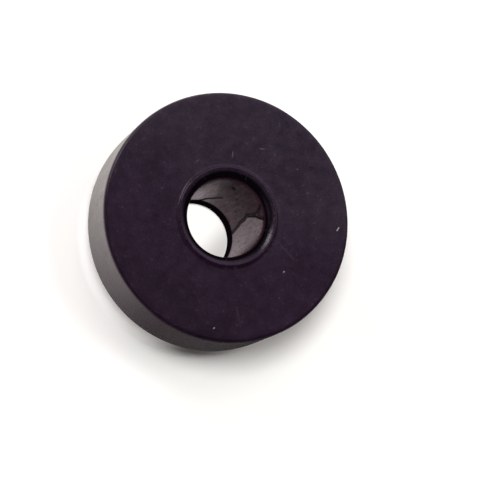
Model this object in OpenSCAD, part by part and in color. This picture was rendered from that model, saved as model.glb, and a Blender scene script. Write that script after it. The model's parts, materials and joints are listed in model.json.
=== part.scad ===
// Mount bushing, moulded in one piece from solid rubber.
// A thick round flange takes the load between the bracket and the crossmember,
// and a narrower pilot below it centres the bushing in the crossmember's hole.
// The bolt and its spacer tube pass through the bore.
// The axis is Z. The origin is the bore's centre on the pilot's free end, and
// the front face looks up.

/* [Flange] */
// Outside diameter of the flange, at its front face
flange_d = 50.8; // [44:0.1:60]
// Thickness of the flange, from shoulder to front face
flange_t = 15.5; // [10:0.5:20]
// Draft of the rim, which narrows towards the shoulder
rim_draft = 1; // [0:0.1:2]
// Round on the rim's edge at the front face
front_edge_r = 0.75; // [0.2:0.05:1]
// Round on the rim's edge at the shoulder
shoulder_edge_r = 0.8; // [0.2:0.1:2]

/* [Pilot] */
// Diameter of the pilot
pilot_d = 31.8; // [28:0.1:36]
// Length of the pilot, from shoulder to free end
pilot_l = 11.5; // [6:0.5:14]
// Lead-in round on the pilot's free end
lead_in_r = 1.2; // [0.5:0.1:2]
// Fillet where the pilot meets the shoulder
root_r = 0.5; // [0.2:0.1:1]

/* [Bore] */
// Diameter of the bore's straight wall
bore_d = 15.8; // [14:0.1:17]
// Radius of the flare that opens the bore at the front face
flare_r = 3; // [2:0.1:3.5]
// Height of the lip that grips the spacer tube at the pilot's free end
lip_h = 0.25; // [0.1:0.05:0.5]
// Length of the lip's straight land
lip_land = 0.9; // [0.4:0.1:1.5]
// Length of the slope from the bore's wall down to the lip
lip_slope = 0.9; // [0.4:0.1:1.5]

/* [Sealing bead] */
// Diameter of the bead's crest round the bore's mouth
bead_d = 19.8; // [18.6:0.1:22]
// Height of the bead above the front face
bead_h = 0.45; // [0.2:0.05:0.6]
// Round over the bead's crest
crest_r = 0.4; // [0.3:0.05:0.8]
// Hollow fillet where the bead runs out into the front face
foot_r = 0.8; // [0.5:0.1:1.2]

/* [Hidden] */
$fn = 128;

flange_r = flange_d / 2;
pilot_r = pilot_d / 2;
bore_r = bore_d / 2;
lip_r = bore_r - lip_h;
face_z = pilot_l + flange_t;

// Centres of the section's rounds, as [radius from the axis, height].
// Each round is tangent to the sides or rounds that it joins.
front_edge_c = rim_round_c(front_edge_r, face_z - front_edge_r);
shoulder_edge_c = rim_round_c(shoulder_edge_r, pilot_l + shoulder_edge_r);
lead_in_c = [pilot_r - lead_in_r, lead_in_r];
root_c = [pilot_r + root_r, pilot_l - root_r];
crest_c = [bead_d / 2, face_z + bead_h - crest_r];
flare_c = beside(crest_c, bore_r + flare_r, flare_r - crest_r);
foot_c = [crest_c[0] + leg(crest_r + foot_r, crest_r + foot_r - bead_h), face_z + foot_r];

// Radius of the drafted rim at height z
function rim_r(z) = flange_r - (face_z - z) * tan(rim_draft);

// Centre of a round of radius r that lies against the rim at height z
function rim_round_c(r, z) = [rim_r(z) - r / cos(rim_draft), z];

// Third side of a right triangle
function leg(hypotenuse, side) = sqrt(pow(hypotenuse, 2) - pow(side, 2));

// Point on the radius x that is a given distance from p, and below it
function beside(p, x, distance) = [x, p[1] - leg(distance, x - p[0])];

// Point at the angle a on a round of radius r about c
function on_round(c, r, a) = c + r * [cos(a), sin(a)];

// Point where a round of radius r about c meets the round about c2
function meeting(c, r, c2) = c + r * (c2 - c) / norm(c2 - c);

module bushing() {
    color("#2b1e2d")
        rotate_extrude() section();
}

// Half of the section, from the bore's wall outwards
module section() {
    difference() {
        union() {
            straight_sides();
            bead();
        }
        flare();
        translate(root_c) circle(root_r);
        spandrel(front_edge_c, front_edge_r, -rim_draft, 90, [flange_r, face_z]);
        spandrel(shoulder_edge_c, shoulder_edge_r, -rim_draft, -90, [rim_r(pilot_l), pilot_l]);
        spandrel(lead_in_c, lead_in_r, 0, -90, [pilot_r, 0]);
    }
}

// The section with sharp outer corners: pilot, flange, straight bore and inward
// lip. The corner at the pilot's root is filled across, for the fillet to hollow.
module straight_sides() {
    polygon([
        [lip_r, 0],
        [pilot_r, 0],
        [pilot_r, root_c[1]],
        [root_c[0], pilot_l],
        [rim_r(pilot_l), pilot_l],
        [flange_r, face_z],
        [bore_r, face_z],
        [bore_r, lip_land + lip_slope],
        [lip_r, lip_land],
    ]);
}

// What lies between a corner and the round inside it. The round has radius r
// about c and touches the corner's two sides at the angles a and b.
module spandrel(c, r, a, b, corner) {
    difference() {
        polygon([c, on_round(c, r, a), corner, on_round(c, r, b)]);
        translate(c) circle(r);
    }
}

// Raised bead round the mouth: a rounded crest that runs out in a hollow fillet
module bead() {
    foot_start = meeting(crest_c, crest_r, foot_c);
    past_flare = meeting(flare_c, flare_r + crest_r, crest_c);
    difference() {
        union() {
            polygon([
                [bore_r, flare_c[1]],
                [foot_c[0], flare_c[1]],
                [foot_c[0], face_z],
                foot_start,
                crest_c,
                past_flare,
                [bore_r, past_flare[1]],
            ]);
            translate(crest_c) circle(crest_r);
        }
        translate(foot_c) circle(foot_r);
    }
}

// What the flare takes away, from the bore's wall out to the bead's crest
module flare() {
    difference() {
        translate([0, flare_c[1]])
            square([crest_c[0], flare_r + crest_r]);
        translate(flare_c) circle(flare_r);
    }
}

bushing();
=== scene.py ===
import json
import math

import bpy
from mathutils import Matrix, Vector, noise


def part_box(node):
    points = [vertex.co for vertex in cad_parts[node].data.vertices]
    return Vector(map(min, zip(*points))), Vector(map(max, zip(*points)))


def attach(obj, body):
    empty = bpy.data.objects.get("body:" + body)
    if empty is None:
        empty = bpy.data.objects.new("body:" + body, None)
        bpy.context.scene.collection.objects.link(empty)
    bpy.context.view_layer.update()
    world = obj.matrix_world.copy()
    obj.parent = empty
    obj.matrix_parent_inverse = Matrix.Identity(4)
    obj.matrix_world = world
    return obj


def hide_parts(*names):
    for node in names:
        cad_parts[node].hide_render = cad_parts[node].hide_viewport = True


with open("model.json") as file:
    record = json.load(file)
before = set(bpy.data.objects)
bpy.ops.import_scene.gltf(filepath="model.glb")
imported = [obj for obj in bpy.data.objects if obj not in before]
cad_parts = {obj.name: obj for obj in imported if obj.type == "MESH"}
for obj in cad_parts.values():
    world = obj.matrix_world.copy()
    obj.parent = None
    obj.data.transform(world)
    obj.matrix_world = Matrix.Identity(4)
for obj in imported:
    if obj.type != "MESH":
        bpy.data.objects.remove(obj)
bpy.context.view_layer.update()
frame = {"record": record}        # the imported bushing, in metres
mm = 0.001

# The bushing's own sizes come from the frame
mount = {m["name"]: m for m in frame["record"]["mounts"]}
boreR = mount["bore"]["dims"]["r_mm"]
pilotR = mount["pilot"]["dims"]["r_mm"]
shoulderZ = mount["shoulder"]["pos_m"][2] / mm
faceZ = mount["front_face"]["pos_m"][2] / mm
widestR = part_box("bushing")[1].x / mm
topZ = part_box("bushing")[1].z / mm


# The camera looks down on the front face from the left, a little rolled
camera = {
    "lens": 187.5,          # mm
    "sensor": 36,           # mm
    "offAxis": 19.28,       # degrees between the line of sight and the bore
    "side": 210.8,          # degrees round the bore from +X to the camera
    "roll": 59.2,           # degrees
    "distance": 497.8,      # mm from the middle of the front face
    "aimRight": 2.40,       # mm from the bore to the middle of the picture
    "aimDown": 4.68,
    "clipStart": 0.01,      # m
    "clipEnd": 20,
}


def wayTo(turn, off):
    # Unit vector at so many degrees round the bore and off its axis
    turn, off = math.radians(turn), math.radians(off)
    return Vector((math.sin(off) * math.cos(turn), math.sin(off) * math.sin(turn), math.cos(off)))


def setCamera(c):
    side = math.radians(c["side"])
    back = wayTo(c["side"], c["offAxis"])
    level = Vector((-math.sin(side), math.cos(side), 0))
    right = Matrix.Rotation(math.radians(c["roll"]), 3, back) @ level
    up = back.cross(right)
    faceMiddle = Vector((0, 0, faceZ))
    place = faceMiddle + right * c["aimRight"] - up * c["aimDown"] + back * c["distance"]
    data = bpy.data.cameras.new("camera")
    data.lens = c["lens"]
    data.sensor_width = c["sensor"]
    data.clip_start = c["clipStart"]
    data.clip_end = c["clipEnd"]
    viewer = bpy.data.objects.new("camera", data)
    turned = Matrix((right, up, back)).transposed().to_4x4()
    viewer.matrix_world = Matrix.Translation(place * mm) @ turned
    bpy.context.scene.collection.objects.link(viewer)
    bpy.context.scene.camera = viewer


setCamera(camera)
print("camera set")


# The moulding, as one turned skin. Lengths in mm, angles in degrees
moulding = {
    "draft": 1.0,           # the rim narrows towards the shoulder
    "frontEdge": 0.75,      # radius of each round
    "shoulderEdge": 0.8,
    "leadIn": 1.2,
    "root": 0.5,
    "flare": 3.0,           # opens the mouth of the bore
    "crest": 0.4,           # over the bead
    "crestOut": 9.9,        # from the axis to the bead's crest
    "foot": 0.8,            # hollow where the bead runs out
    "lipHeight": 0.25,      # the lip inside the pilot's end
    "lipLand": 0.9,
    "lipSlope": 0.9,
    "pointsAround": 360,
    "wallStep": 0.22,       # between rings in the bore
    "broadStep": 0.8,       # between rings on the faces and the rim
    "touching": 1e-6,       # points closer than this are one
    "onWall": 0.01,         # points nearer than this to the bore's wall are on it
    "flatSeat": 0.4,        # height over which the seat stays true
    "wave": 0.02,           # how far the skin strays from true
    "waveLength": 9.0,
    "streak": 0.008,        # depth of the draw marks along the bore
    "streakAround": 1.6,    # how fast they change round the bore, per mm
    "streakUp": 0.12,       # and along it
    "streakSlice": 5,       # through the noise
}

# Lines and a pock in the bore's wall, as places (degrees round, mm up)
boreMarks = {
    "strokes": {
        "flowLine": [(0.9, 25.4), (6.8, 22.4), (12.5, 20.0), (16.3, 17.1), (18.6, 15.2),
                     (15.8, 13.3), (14.7, 10.3), (10.7, 6.9), (7.7, 3.6)],
        "branch": [(12.5, 20.0), (13.7, 22.5), (17.2, 24.4), (20.7, 24.9)],
        "fold": [(81.6, 3.0), (77.2, 5.5), (71.2, 7.3), (62.9, 10.7)],
        "pock": [(63.0, 19.6), (65.0, 20.6)],
    },
    "lineWidth": 0.26,      # mm
    "lineDepth": 0.16,
    "darkFrom": 0.8,        # the dark in a line fades out between these, in line widths
    "darkTo": 2.2,
}


def arcPoints(cx, cz, r, start, end, count):
    turns = [math.radians(start + (end - start) * i / count) for i in range(count + 1)]
    return [(cx + r * math.cos(t), cz + r * math.sin(t)) for t in turns]


def sidePoints(a, b, step):
    # Along a straight side, both ends left out
    count = math.ceil(math.dist(a, b) / step)
    return [(a[0] + (b[0] - a[0]) * i / count, a[1] + (b[1] - a[1]) * i / count)
            for i in range(1, count)]


def mouldingSection(m):
    # The closed outline as (radius, height), from the lip up the bore and back
    slope = math.tan(math.radians(m["draft"]))
    lean = math.cos(math.radians(m["draft"]))
    crest = (m["crestOut"], topZ - m["crest"])
    flareX = boreR + m["flare"]
    flareZ = crest[1] - math.sqrt((m["flare"] - m["crest"]) ** 2 - (flareX - crest[0]) ** 2)
    flareEnd = math.degrees(math.atan2(crest[1] - flareZ, crest[0] - flareX))
    span = m["crest"] + m["foot"]
    footZ = faceZ + m["foot"]
    footX = crest[0] + math.sqrt(span ** 2 - (footZ - crest[1]) ** 2)
    footStart = math.degrees(math.atan2(crest[1] - footZ, crest[0] - footX)) % 360
    edge = (widestR - m["frontEdge"], faceZ - m["frontEdge"])
    backZ = shoulderZ + m["shoulderEdge"]
    rimAtBack = edge[0] + m["frontEdge"] / lean - (edge[1] - backZ) * slope
    backX = rimAtBack - m["shoulderEdge"] / lean
    rootX, rootZ = pilotR + m["root"], shoulderZ - m["root"]
    leadX = pilotR - m["leadIn"]
    lipR = boreR - m["lipHeight"]
    wall, broad = m["wallStep"], m["broadStep"]

    # Each stretch, with the step along the straight side that may follow it
    stretches = [
        ([(lipR, 0)], wall),
        ([(lipR, m["lipLand"])], wall),
        ([(boreR, m["lipLand"] + m["lipSlope"])], wall),
        (arcPoints(flareX, flareZ, m["flare"], 180, flareEnd, count=20), wall),
        (arcPoints(*crest, m["crest"], flareEnd, footStart - 180, count=12)[1:], wall),
        (arcPoints(footX, footZ, m["foot"], footStart, 270, count=10)[1:], broad),
        (arcPoints(*edge, m["frontEdge"], 90, -m["draft"], count=8), broad),
        (arcPoints(backX, backZ, m["shoulderEdge"], -m["draft"], -90, count=10), broad),
        (arcPoints(rootX, rootZ, m["root"], 90, 180, count=6), broad),
        (arcPoints(leadX, m["leadIn"], m["leadIn"], 0, -90, count=10), broad),
    ]
    outline = []
    for k, (points, step) in enumerate(stretches):
        following = stretches[(k + 1) % len(stretches)][0][0]
        outline += points
        if math.dist(points[-1], following) > m["touching"]:
            outline += sidePoints(points[-1], following, step)
    return outline


def unrolledStrokes(marks):
    # The marks on the bore's wall laid flat: mm round, mm up
    return [[Vector((math.radians(turn) * boreR, height, 0)) for turn, height in stroke]
            for stroke in marks["strokes"].values()]


def strokeDistance(point, stroke):
    # Shortest way from a point to a line of points
    nearest = math.inf
    for a, b in zip(stroke, stroke[1:]):
        along = b - a
        share = max(0, min(1, (point - a).dot(along) / along.length_squared))
        nearest = min(nearest, (point - a - along * share).length)
    return nearest


def skinOffset(m, marks, strokes, r, z, turn):
    # How far the skin stands off its true section, in mm
    place = Vector((r * math.cos(turn), r * math.sin(turn), z))
    off = m["wave"] * noise.noise(place / m["waveLength"])
    if r < boreR + m["onWall"] and z > m["lipLand"] + m["lipSlope"]:
        around = turn * boreR
        drawn = Vector((around * m["streakAround"], z * m["streakUp"], m["streakSlice"]))
        off += m["streak"] * noise.noise(drawn)
        for stroke in strokes:
            near = strokeDistance(Vector((around, z, 0)), stroke) / marks["lineWidth"]
            off -= marks["lineDepth"] * math.exp(-near * near)
    return off * min(1, z / m["flatSeat"])


def makeMoulding(m, marks):
    outline = mouldingSection(m)
    rings = len(outline)
    around = m["pointsAround"]
    strokes = unrolledStrokes(marks)
    points = []
    for k, (r, z) in enumerate(outline):
        before, after = outline[k - 1], outline[(k + 1) % rings]
        outward = Vector((before[1] - after[1], after[0] - before[0])).normalized()
        for i in range(around):
            turn = math.tau * i / around
            if turn > math.pi:
                turn -= math.tau
            off = skinOffset(m, marks, strokes, r, z, turn)
            out, high = r + outward.x * off, z + outward.y * off
            points.append((out * math.cos(turn) * mm, out * math.sin(turn) * mm, high * mm))
    faces = []
    for k in range(rings):
        low, high = k * around, (k + 1) % rings * around
        for i in range(around):
            j = (i + 1) % around
            faces.append((low + i, low + j, high + j, high + i))
    mesh = bpy.data.meshes.new("mouldedRubber")
    mesh.from_pydata(points, [], faces)
    mesh.polygons.foreach_set("use_smooth", [True] * len(faces))
    mesh.update()
    piece = bpy.data.objects.new("mouldedRubber", mesh)
    bpy.context.scene.collection.objects.link(piece)
    return piece


bushing = makeMoulding(moulding, boreMarks)
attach(bushing, "root")
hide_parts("bushing")
print("moulding made,", len(bushing.data.polygons), "faces")


# Nodes are added and joined through these
def addNode(tree, kind, settings=None, inputs=None):
    made = tree.nodes.new(kind)
    for name, value in (settings or {}).items():
        setattr(made, name, value)
    for name, value in (inputs or {}).items():
        if isinstance(value, bpy.types.NodeSocket):
            tree.links.new(value, made.inputs[name])
        else:
            made.inputs[name].default_value = value
    return made


def newMaterial(name):
    material = bpy.data.materials.new(name)
    material.use_nodes = True
    material.node_tree.nodes.clear()
    return material


def showSurface(tree, shader):
    output = addNode(tree, "ShaderNodeOutputMaterial")
    tree.links.new(shader.outputs[0], output.inputs["Surface"])


def calc(tree, operation, *values):
    made = addNode(tree, "ShaderNodeMath", {"operation": operation}, dict(enumerate(values)))
    return made.outputs[0]


def product(tree, first, *others):
    for value in others:
        first = calc(tree, "MULTIPLY", first, value)
    return first


def total(tree, first, *others):
    for value in others:
        first = calc(tree, "ADD", first, value)
    return first


def rest(tree, share):
    # What a share leaves of one
    return calc(tree, "SUBTRACT", 1.0, share)


def stray(tree, field, amount):
    # How far a noise strays from its middle, times amount
    return product(tree, calc(tree, "SUBTRACT", field, 0.5), amount)


def clamped(tree, value):
    return addNode(tree, "ShaderNodeClamp", {}, {"Value": value}).outputs[0]


def vectorCalc(tree, operation, inputs, output=0):
    made = addNode(tree, "ShaderNodeVectorMath", {"operation": operation}, inputs)
    return made.outputs[output]


def scaled(tree, vector, share):
    return vectorCalc(tree, "SCALE", {0: vector, "Scale": share})


def reach(tree, place, way):
    # How far a place lies along a way
    return vectorCalc(tree, "DOT_PRODUCT", {0: place, 1: way}, "Value")


def placeInMm(tree):
    where = addNode(tree, "ShaderNodeTexCoord").outputs["Object"]
    return scaled(tree, where, 1 / mm)


def ramped(tree, value, low, high, bottom=0.0, top=1.0):
    # Eases value from bottom at low to top at high
    made = addNode(tree, "ShaderNodeMapRange", {"interpolation_type": "SMOOTHSTEP"},
                   {"Value": value, "From Min": low, "From Max": high, "To Min": bottom, "To Max": top})
    return made.outputs["Result"]


def within(tree, value, edge, fade):
    # One inside, easing to nothing between two distances past an edge
    return ramped(tree, value, edge + fade[0], edge + fade[1], 1, 0)


def blend(tree, share, first, second):
    # Sockets 6 and 7 of the node are its two colours
    made = addNode(tree, "ShaderNodeMix", {"data_type": "RGBA"}, {"Factor": share, 6: first, 7: second})
    return made.outputs[2]


def mixed(tree, share, first, second):
    # Sockets 2 and 3 are its two numbers
    made = addNode(tree, "ShaderNodeMix", {"data_type": "FLOAT"}, {"Factor": share, 2: first, 3: second})
    return made.outputs[0]


def noiseField(tree, place, scale, detail, roughness=0.55):
    made = addNode(tree, "ShaderNodeTexNoise", {"noise_dimensions": "3D"},
                   {"Vector": place, "Scale": scale, "Detail": detail, "Roughness": roughness})
    return made.outputs["Fac"]


def bumped(tree, height):
    # height is in mm
    made = addNode(tree, "ShaderNodeBump", {},
                   {"Height": product(tree, height, mm), "Strength": 1.0, "Distance": 1.0})
    return made.outputs[0]


def strokeField(tree, place, a, b):
    # Distance from place to the stroke from a to b
    along = Vector(b) - Vector(a)
    offset = vectorCalc(tree, "SUBTRACT", {0: place, 1: a})
    share = clamped(tree, reach(tree, offset, along / along.length_squared))
    return vectorCalc(tree, "DISTANCE", {0: offset, 1: scaled(tree, along, share)}, "Value")


def nearestStroke(tree, place, strokes):
    # Distance from place to the nearest of some lines of points
    gaps = [strokeField(tree, place, a, b) for stroke in strokes for a, b in zip(stroke, stroke[1:])]
    nearest = gaps[0]
    for gap in gaps[1:]:
        nearest = calc(tree, "MINIMUM", nearest, gap)
    return nearest


# The rubber's look. Colours are linear, lengths in mm, noises per mm. A pair is where a change
# starts and ends, or what it starts and ends at
rubber = {
    "ior": 1.5,
    "skin": (0.0106, 0.0046, 0.0113, 1),     # on the face
    "bloom": (0.0150, 0.0104, 0.0170, 1),    # where wax has come to the surface, and towards the face's lit side as painted light
    # The rim's paler colour is partly painted sheen, standing in for light the rim catches
    "rim": (0.0400, 0.0210, 0.0380, 1),
    "wall": (0.0450, 0.0150, 0.0280, 1),     # down the bore; paler, partly painted light standing in for the light on the bore's wall
    "deep": (0.0016, 0.0009, 0.0019, 1),     # painted shade in the bore's mouth and on the lip; also the colour of the lines
    "dust": (0.34, 0.31, 0.31, 1),

    # Where each finish lies
    "wallOut": (0.02, 0.35),                 # out from the bore's wall
    "mouthOut": (1.1, 1.6),
    "beadOut": (2.0, 2.8),
    "lipOut": (0.3, 0.7),
    "lipUp": (3.0, 3.4),                     # up the bore past the lip, where its painted shade ends; the lip's own material ends at the first
    "rimIn": (-0.80, -0.30),                 # in from the widest part
    "rimDown": (-0.75, -0.05),               # down from the face

    # Bloom, and how uneven the colour is
    "bloomSide": (0.0160, 0.0420, 0.0),      # painted light: how the bloom colour grows across the face towards its lit side, per mm
    "bloomShare": 0.30,                      # at the middle
    "bloomDrift": 1.3,                       # from cloud to cloud
    "rubbedWay": (-0.72, -0.69, 0.0),        # painted shade: the face darkens towards this side
    "rubbedOut": (14.5, 20.0),
    "rubbedShare": 0.25,
    "cloud": 0.09,
    "cloudContrast": 0.9,
    "patch": 0.45,
    "patchContrast": 1.5,
    "grainSize": 0.28,
    "grainContrast": 1.9,

    # Marks on the face, and specks of dust where the patches let them lie
    "markCore": 0.35,                        # share of a mark's half width at full strength
    "markGrain": (0.25, 0.5),                # the grain breaks a mark up between these levels
    "markThinned": 0.5,                      # down to this share
    "speckSize": 0.55,                       # mm between specks
    "speckShare": 0.05,
    "speckLevel": (0.62, 0.74),
    "speckPatch": (0.45, 0.62),

    # Roughness
    "faceRoughness": 0.32,
    "beadRoughness": 0.25,
    "rimRoughness": 0.24,
    "lineRoughness": 0.85,
    "lipRoughness": 0.90,
    "dustRoughness": 0.3,                    # added where dust lies
    "patchRoughness": 0.10,                  # more or less from patch to patch
    "rimStreaks": 0.20,                      # and from streak to streak

    # Relief
    "grainDepth": 0.014,
    "rimGrainDepth": 0.007,
    "drawnDepth": 0.02,                      # streaks in the bore
    "dustDepth": 0.02,
    "swell": 0.05,                           # broad unevenness

    # The bore's wall is smooth on one side of a border and dull on the other
    "borderLow": (0.62, 0.131),              # mm round at the seat, and how much more per mm up
    "borderHigh": (6.20, -0.243),
    "borderSoft": (-0.15, 0.5),
    "dullLean": 0.12,                        # mm round per mm up
    "dullRound": (46, 90),                   # degrees round, between which it ends
    "dullUp": (2, 24),
    "dullShare": (0.75, 1),                  # over that height
    "dullRoughness": 0.64,
    "smoothUp": (3, 17),
    "smoothRoughness": (0.17, 0.29),         # over that height
    "streaks": 1.5,
    "streakSquash": 0.16,                    # draws the streaks out along the bore
    "streakRoughness": 0.40,
    "flecks": 2.6,
    "fleckLevel": (0.58, 0.70),
    "fleckRoughness": 0.22,

    # The lip's own material, painted shade
    "lipSkinOut": 0.2,                       # how far out from the bore's wall it reaches
    "lipSpecular": 0.02,
    "lipPatch": 0.9,
}

# Pale nicks, a scratch and a scuff on the face, as (start, end, half width, strength)
faceMarks = [
    ((22.85, -2.25), (23.25, -1.65), 0.16, 0.85),
    ((11.30, -10.98), (11.45, -10.85), 0.17, 0.60),
    ((-3.50, -22.55), (-3.36, -22.42), 0.17, 0.70),
    ((-6.40, 10.80), (-5.75, 11.40), 0.12, 0.10),
    ((1.20, 12.10), (1.38, 13.20), 0.12, 0.17),
    ((7.05, 14.05), (7.95, 13.98), 0.12, 0.18),
    ((14.77, 10.05), (14.87, 10.12), 0.13, 0.22),
    ((10.42, -4.91), (13.69, -8.65), 0.09, 0.05),
    ((1.28, -18.29), (1.62, -20.10), 0.34, 0.022),
    ((1.90, -20.60), (2.00, -22.27), 0.22, 0.022),
]


def rubberFields(tree, c, lines):
    # The places, zones and noises that the finish is mixed from, by name
    place = placeInMm(tree)
    x, y, z = addNode(tree, "ShaderNodeSeparateXYZ", {}, {0: place}).outputs
    out = calc(tree, "SQRT", total(tree, product(tree, x, x), product(tree, y, y)))
    around = product(tree, calc(tree, "ARCTAN2", y, x), boreR)
    squashed = product(tree, z, c["streakSquash"])
    unrolled = addNode(tree, "ShaderNodeCombineXYZ", {}, {"X": around, "Y": z}).outputs[0]
    drawn = addNode(tree, "ShaderNodeCombineXYZ", {}, {"X": around, "Y": squashed}).outputs[0]
    lineGap = nearestStroke(tree, unrolled, unrolledStrokes(lines))
    darkFrom, darkTo = (lines["lineWidth"] * lines[name] for name in ("darkFrom", "darkTo"))
    atRim = rest(tree, within(tree, out, widestR, c["rimIn"]))
    return {
        "place": place,
        "around": around,
        "up": z,
        "onWall": within(tree, out, boreR, c["wallOut"]),
        "inMouth": within(tree, out, boreR, c["mouthOut"]),
        "onBead": within(tree, out, boreR, c["beadOut"]),
        "onLip": product(tree, within(tree, z, 0, c["lipUp"]), within(tree, out, boreR, c["lipOut"])),
        "onRim": calc(tree, "MINIMUM", atRim, within(tree, z, faceZ, c["rimDown"])),
        "onLine": ramped(tree, lineGap, darkFrom, darkTo, 1, 0),
        "cloud": noiseField(tree, place, c["cloud"], detail=3),
        "patch": noiseField(tree, place, c["patch"], detail=4),
        "grain": noiseField(tree, place, 1 / c["grainSize"], detail=2, roughness=0.6),
        "streaks": noiseField(tree, drawn, c["streaks"], detail=4, roughness=0.6),
        "flecks": ramped(tree, noiseField(tree, drawn, c["flecks"], detail=2), *c["fleckLevel"]),
    }


def dustShare(tree, c, at, nicks):
    # Dust lies in the marks on the face, and in specks except down the bore and on the rim
    marked = 0.0
    for start, end, width, strength in nicks:
        gap = strokeField(tree, at["place"], (*start, faceZ), (*end, faceZ))
        share = ramped(tree, gap, width * c["markCore"], width, strength, 0)
        marked = calc(tree, "MAXIMUM", marked, share)
    marked = product(tree, marked, ramped(tree, at["grain"], *c["markGrain"], c["markThinned"], 1))
    speckNoise = noiseField(tree, at["place"], 1 / c["speckSize"], detail=1)
    specks = product(tree, ramped(tree, speckNoise, *c["speckLevel"], 0, c["speckShare"]),
                     ramped(tree, at["patch"], *c["speckPatch"]),
                     rest(tree, at["onRim"]), rest(tree, at["onWall"]))
    return calc(tree, "MAXIMUM", marked, specks)


def rubberColour(tree, c, at, dust):
    # Painted light: the bloom colour grows towards one side of the face, standing in for that side being
    # more lit; the bloom is also patchy
    bloomAndLitSide = total(tree, reach(tree, at["place"], c["bloomSide"]), c["bloomShare"],
                    stray(tree, at["cloud"], c["bloomDrift"]))
    colour = blend(tree, clamped(tree, bloomAndLitSide), c["skin"], c["bloom"])
    uneven = total(tree, stray(tree, at["grain"], c["grainContrast"]),
                   stray(tree, at["patch"], c["patchContrast"]),
                   stray(tree, at["cloud"], c["cloudContrast"]), 1.0)
    # Painted shade: the face darkens past a distance towards one side
    towardsShade = reach(tree, at["place"], c["rubbedWay"])
    unshaded = ramped(tree, towardsShade, *c["rubbedOut"], 1, 1 - c["rubbedShare"])
    colour = scaled(tree, colour, product(tree, unshaded, uneven))
    # Paler rim colour, partly painted sheen
    colour = blend(tree, at["onRim"], colour, c["rim"])
    # Painted shade: the bore's mouth is near black
    colour = blend(tree, at["inMouth"], colour, c["deep"])
    # Paler wall colour down the bore, partly painted light
    colour = blend(tree, at["onWall"], colour, c["wall"])
    # Painted shade on the lip and up the bore above it; the lines are darkened too
    dark = calc(tree, "MAXIMUM", at["onLip"], product(tree, at["onLine"], at["onWall"]))
    colour = blend(tree, dark, colour, c["deep"])
    return blend(tree, dust, colour, c["dust"])


def wallRoughness(tree, c, at):
    low, high = (total(tree, product(tree, at["up"], more), first)
                 for first, more in (c["borderLow"], c["borderHigh"]))
    pastBorder = calc(tree, "SUBTRACT", at["around"], calc(tree, "MINIMUM", low, high))
    leaned = calc(tree, "SUBTRACT", at["around"], product(tree, at["up"], c["dullLean"]))
    dullFrom, dullTo = (math.radians(turn) * boreR for turn in c["dullRound"])
    dull = product(tree, ramped(tree, pastBorder, *c["borderSoft"]),
                   ramped(tree, leaned, dullFrom, dullTo, 1, 0),
                   ramped(tree, at["up"], *c["dullUp"], *c["dullShare"]))
    smooth = ramped(tree, at["up"], *c["smoothUp"], *c["smoothRoughness"])
    wall = total(tree, mixed(tree, dull, smooth, c["dullRoughness"]),
                 stray(tree, at["streaks"], c["streakRoughness"]),
                 product(tree, at["flecks"], c["fleckRoughness"]))
    return mixed(tree, at["onLine"], wall, c["lineRoughness"])


def rubberRoughness(tree, c, at, dust):
    rim = total(tree, stray(tree, at["streaks"], c["rimStreaks"]), c["rimRoughness"])
    outside = mixed(tree, at["onBead"], c["faceRoughness"], c["beadRoughness"])
    outside = mixed(tree, at["onRim"], outside, rim)
    outside = total(tree, outside, stray(tree, at["patch"], c["patchRoughness"]),
                    product(tree, dust, c["dustRoughness"]))
    roughness = mixed(tree, at["onWall"], outside, wallRoughness(tree, c, at))
    return mixed(tree, at["onLip"], roughness, c["lipRoughness"])


def rubberRelief(tree, c, at, dust):
    grainDepth = mixed(tree, at["onRim"], c["grainDepth"], c["rimGrainDepth"])
    return total(tree, product(tree, at["grain"], grainDepth),
                 product(tree, at["streaks"], at["onWall"], c["drawnDepth"]),
                 product(tree, dust, c["dustDepth"]),
                 product(tree, at["patch"], c["swell"]))


def rubberSkin(c, lines, nicks):
    material = newMaterial("rubberSkin")
    tree = material.node_tree
    at = rubberFields(tree, c, lines)
    dust = dustShare(tree, c, at, nicks)
    skin = addNode(tree, "ShaderNodeBsdfPrincipled", {}, {
        "IOR": c["ior"],
        "Base Color": rubberColour(tree, c, at, dust),
        "Roughness": rubberRoughness(tree, c, at, dust),
        "Normal": bumped(tree, rubberRelief(tree, c, at, dust)),
    })
    showSurface(tree, skin)
    return material


def lipSkin(c):
    # Painted shade: the lip and the bore just above it are near black with almost no specular, standing
    # in for the shade they lie in
    material = newMaterial("lipSkin")
    tree = material.node_tree
    place = placeInMm(tree)
    patch = noiseField(tree, place, c["lipPatch"], detail=4)
    grain = noiseField(tree, place, 1 / c["grainSize"], detail=2)
    skin = addNode(tree, "ShaderNodeBsdfPrincipled", {}, {
        "IOR": c["ior"],
        "Specular IOR Level": c["lipSpecular"],
        "Roughness": c["lipRoughness"],
        "Base Color": blend(tree, patch, c["deep"], c["skin"]),
        "Normal": bumped(tree, product(tree, grain, c["grainDepth"])),
    })
    showSurface(tree, skin)
    return material


def finishMoulding(piece, c, lines, nicks):
    piece.data.materials.append(rubberSkin(c, lines, nicks))
    piece.data.materials.append(lipSkin(c))
    for face in piece.data.polygons:
        middle = face.center / mm
        onLip = middle.z < c["lipUp"][0] and middle.xy.length < boreR + c["lipSkinOut"]
        face.material_index = int(onLip)


finishMoulding(bushing, rubber, boreMarks, faceMarks)
print("rubber finished")


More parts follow.
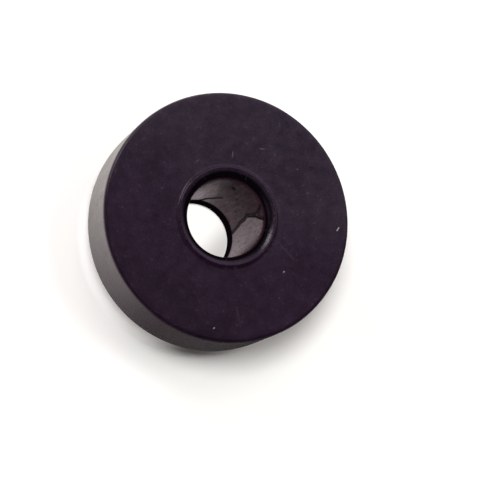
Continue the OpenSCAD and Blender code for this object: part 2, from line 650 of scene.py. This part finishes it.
# The floor is white wherever the bushing's shadow doesn't reach. Lengths in mm
floor = {
    "size": 6000,
    "tone": (0.97, 0.965, 0.935, 1),
    "mirroredTone": (0.965, 0.942, 0.868, 1),   # as reflections see it
    "glowColour": (1.0, 0.975, 0.945, 1),
    "mirroredGlow": (1.06, 0.88, 0.94, 1),

    # Painted light on the floor: a glow under the flange on one side, standing in for light that gets in
    # there
    "underWay": (-0.883, -0.469, 0),
    "underFacing": (0.50, 0.85),                # cosines between which it grows
    "underGlow": 0.31,
    "underIn": (-2.7, -0.3),                    # in from the widest part

    # A spot of painted light on the floor under the bore, seen through the bore and mirrored by its
    # wall, with painted shade as it dims along a way
    "spotR": 7.2,
    "spotSoft": (0, 0.6),
    "spotWay": (0.72, -0.69, 0),
    "spotAlong": (0.5, 6.5),
    "spotGlow": (1.05, 0.62),
    "spotMirrored": (0.64, 0.62),               # as the bore's wall mirrors it

    # Painted reflection: as reflections see it, the floor brightens along a way
    "fadeWay": (-0.86, 0.51, 0),
    "fadeAlong": (-4, 44),
    "fadeShare": (0.11, 1.09),
}


def floorTone(tree, c, place, inSpot, isGlossy):
    fade = ramped(tree, reach(tree, place, c["fadeWay"]), *c["fadeAlong"], *c["fadeShare"])
    share = product(tree, mixed(tree, isGlossy, 1.0, fade), rest(tree, inSpot))
    return scaled(tree, blend(tree, isGlossy, c["tone"], c["mirroredTone"]), share)


def floorGlow(tree, c, place, out, inSpot, isGlossy):
    along = reach(tree, place, c["spotWay"])
    spot = mixed(tree, isGlossy, ramped(tree, along, *c["spotAlong"], *c["spotGlow"]),
                 ramped(tree, along, *c["spotAlong"], *c["spotMirrored"]))
    facing = reach(tree, vectorCalc(tree, "NORMALIZE", {0: place}), c["underWay"])
    under = product(tree, ramped(tree, facing, *c["underFacing"], 0, c["underGlow"]),
                    within(tree, out, widestR, c["underIn"]))
    return mixed(tree, inSpot, under, spot)


def floorPaper(c):
    material = newMaterial("floorPaper")
    tree = material.node_tree
    rays = addNode(tree, "ShaderNodeLightPath").outputs
    isGlossy = rays["Is Glossy Ray"]
    seen = calc(tree, "MAXIMUM", rays["Is Camera Ray"], isGlossy)
    seen = calc(tree, "MAXIMUM", seen, rays["Is Transmission Ray"])
    place = placeInMm(tree)
    out = vectorCalc(tree, "LENGTH", {0: place}, "Value")
    inSpot = within(tree, out, c["spotR"], c["spotSoft"])
    tint = blend(tree, product(tree, isGlossy, inSpot), c["glowColour"], c["mirroredGlow"])
    glow = product(tree, floorGlow(tree, c, place, out, inSpot, isGlossy), seen)
    tone = floorTone(tree, c, place, inSpot, isGlossy)
    paper = addNode(tree, "ShaderNodeBsdfDiffuse", {}, {"Color": tone})
    light = addNode(tree, "ShaderNodeEmission", {}, {"Color": tint, "Strength": glow})
    both = addNode(tree, "ShaderNodeAddShader", {}, {0: paper.outputs[0], 1: light.outputs[0]})
    showSurface(tree, both)
    return material


def makeFloor(c):
    half = c["size"] / 2 * mm
    mesh = bpy.data.meshes.new("floor")
    mesh.from_pydata([(-half, -half, 0), (half, -half, 0), (half, half, 0), (-half, half, 0)],
                     [], [(0, 1, 2, 3)])
    mesh.materials.append(floorPaper(c))
    piece = bpy.data.objects.new("floor", mesh)
    bpy.context.scene.collection.objects.link(piece)


makeFloor(floor)
print("floor laid")


# Soft lamps: place round the bore and off its axis in degrees, sizes in mm. The level is the share
# of a white surface's full brightness that a lamp gives
overhead = {"off": 14, "distance": 700, "size": 172, "colour": (1, 1, 1), "glossy": False}
lamps = {
    "key": {**overhead, "round": 180, "level": 0.641},
    "back": {**overhead, "round": 120, "level": 0.124},
    "right": {**overhead, "round": 0, "level": 0.187},
    "window": {"off": 53, "distance": 700, "size": 280, "colour": (1, 0.88, 1), "glossy": True,
               "round": 131, "level": 0.12},
}

# The air is dark apart from two soft glows, each towards a way and between two cosines. In
# reflections, narrower is taken off the cosine
surround = {
    "dark": 0.02,
    "colour": (1.0, 0.895, 0.89, 1),
    # In reflections the air is tinted purple, standing in for the purple of the rubber's sheen
    "mirroredColour": (1.0, 0.74, 1.12, 1),
    "white": (1, 1, 1, 1),                  # as the camera sees it
    "glows": [
        {"way": (0.433, 0.75, 0.5), "facing": (0.55, 1.0), "level": 0.65, "narrower": 0.0},
        {"way": (-0.998, -0.05, 0.035), "facing": (0.62, 0.92), "level": 0.7, "narrower": 0.22},
    ],
}


def makeLamp(name, c):
    away = wayTo(c["round"], c["off"])
    data = bpy.data.lights.new(name, "AREA")
    data.shape = "DISK"
    data.size = c["size"] * mm
    data.color = c["colour"]
    data.energy = c["level"] * math.pi ** 2 * (c["distance"] * mm) ** 2 / away.z
    lamp = bpy.data.objects.new(name, data)
    lamp.location = away * c["distance"] * mm
    lamp.rotation_euler = away.to_track_quat("Z", "Y").to_euler()
    lamp.visible_glossy = c["glossy"]
    lamp.visible_camera = False
    bpy.context.scene.collection.objects.link(lamp)


def makeSurround(c):
    world = bpy.data.worlds.new("surround")
    bpy.context.scene.world = world
    world.use_nodes = True
    tree = world.node_tree
    tree.nodes.clear()
    rays = addNode(tree, "ShaderNodeLightPath").outputs
    way = addNode(tree, "ShaderNodeTexCoord").outputs["Generated"]
    level = c["dark"]
    for glow in c["glows"]:
        narrower = product(tree, rays["Is Glossy Ray"], glow["narrower"])
        facing = calc(tree, "SUBTRACT", reach(tree, way, glow["way"]), narrower)
        level = total(tree, level, ramped(tree, facing, *glow["facing"], 0, glow["level"]))
    level = mixed(tree, rays["Is Camera Ray"], level, 1.0)
    tint = blend(tree, rays["Is Glossy Ray"], c["colour"], c["mirroredColour"])
    tint = blend(tree, rays["Is Camera Ray"], tint, c["white"])
    air = addNode(tree, "ShaderNodeBackground", {}, {"Color": tint, "Strength": level})
    output = addNode(tree, "ShaderNodeOutputWorld")
    tree.links.new(air.outputs[0], output.inputs["Surface"])


for lampName, lampSetting in lamps.items():
    makeLamp(lampName, lampSetting)
makeSurround(surround)
bpy.context.scene.view_settings.view_transform = "Standard"
print("lights set")
